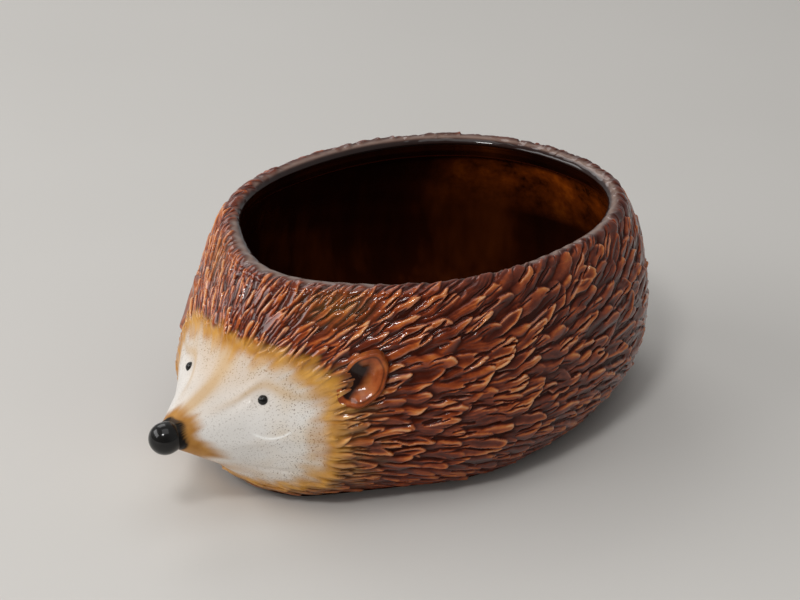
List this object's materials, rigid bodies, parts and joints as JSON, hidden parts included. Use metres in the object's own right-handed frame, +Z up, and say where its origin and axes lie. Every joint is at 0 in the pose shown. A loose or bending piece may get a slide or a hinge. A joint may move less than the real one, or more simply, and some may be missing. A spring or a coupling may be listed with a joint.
{
  "type": "hedgehog planter bowl",
  "caption": "Open glazed ceramic bowl shaped as a hedgehog, with a spiny carved wall, a rolled rim, a smooth face with a ball nose, bead eyes and cupped ears, on a flat foot ring.",
  "frame": {"origin": "on the plane the foot ring stands on, under the middle of the overall length and width", "axes": "+Z up, -Y towards the nose, +Y towards the rump, +X towards the animal's left side"},
  "size_m": [0.1662, 0.2499, 0.0868],
  "materials": {
    "brown_glaze": "glossy red-brown glaze over carved clay, lighter on the ridges",
    "ear_glaze": "glossy brown glaze",
    "black_glaze": "glossy black glaze"
  },
  "bodies": {
    "root": {"bowl_body": "brown_glaze", "nose_ball": "black_glaze", "left_eye": "black_glaze", "right_eye": "black_glaze", "left_ear": "ear_glaze", "right_ear": "ear_glaze"}
  },
  "joints": []
}
